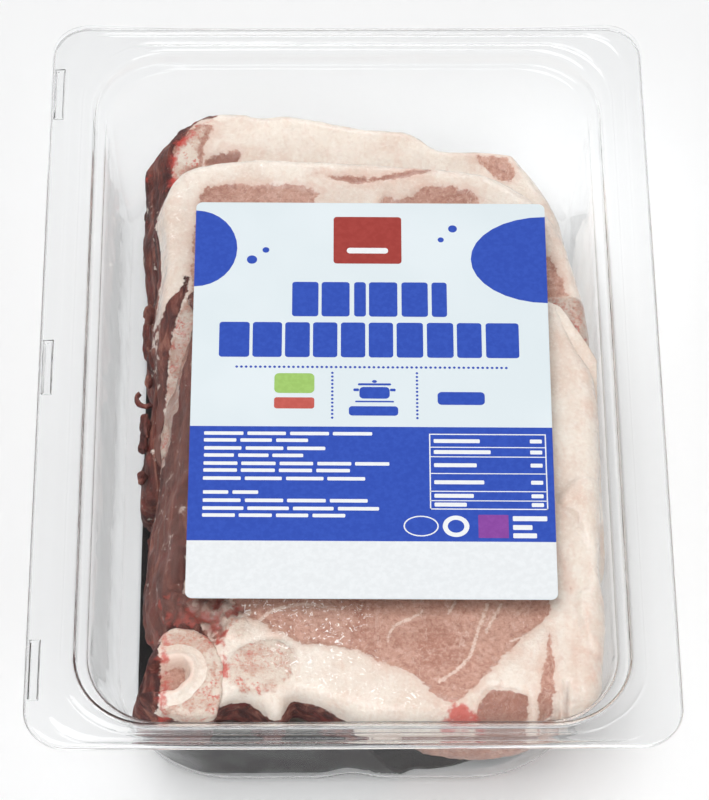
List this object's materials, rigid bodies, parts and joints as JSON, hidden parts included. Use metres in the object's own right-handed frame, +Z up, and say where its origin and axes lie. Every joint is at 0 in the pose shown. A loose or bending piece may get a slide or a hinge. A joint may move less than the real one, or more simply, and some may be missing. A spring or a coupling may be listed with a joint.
{
  "type": "meat tray pack",
  "caption": "Clear formed food tray sealed with a clear lid film and a paper label, holding shingled pork chops on a soaking pad.",
  "frame": {"origin": "on the surface that the pack stands on, under the middle of its bounding box", "axes": "+Z up, +X to the pack's right as its label is read, +Y from the label's foot to its head"},
  "size_m": [0.1782, 0.2492, 0.0507],
  "materials": {
    "tray_plastic": "clear, glossy formed plastic",
    "film": "clear, glossy film",
    "label_paper": "smooth printed paper with a blue band",
    "pad_cloth": "black soaking pad, dull, damp",
    "lean_meat": "raw pork, brownish pink, moist",
    "fat": "raw pork fat, cream, moist",
    "bone": "sawn bone, pinkish, with a reddish spongy core"
  },
  "bodies": {
    "root": {"tray": "tray_plastic", "lid_film": "film", "label": "label_paper", "soak_pad": "pad_cloth", "chop_rear": "fat", "chop_lower": "fat", "chop_middle": "lean_meat", "chop_front": "lean_meat", "chine_bone": "bone"}
  },
  "joints": []
}
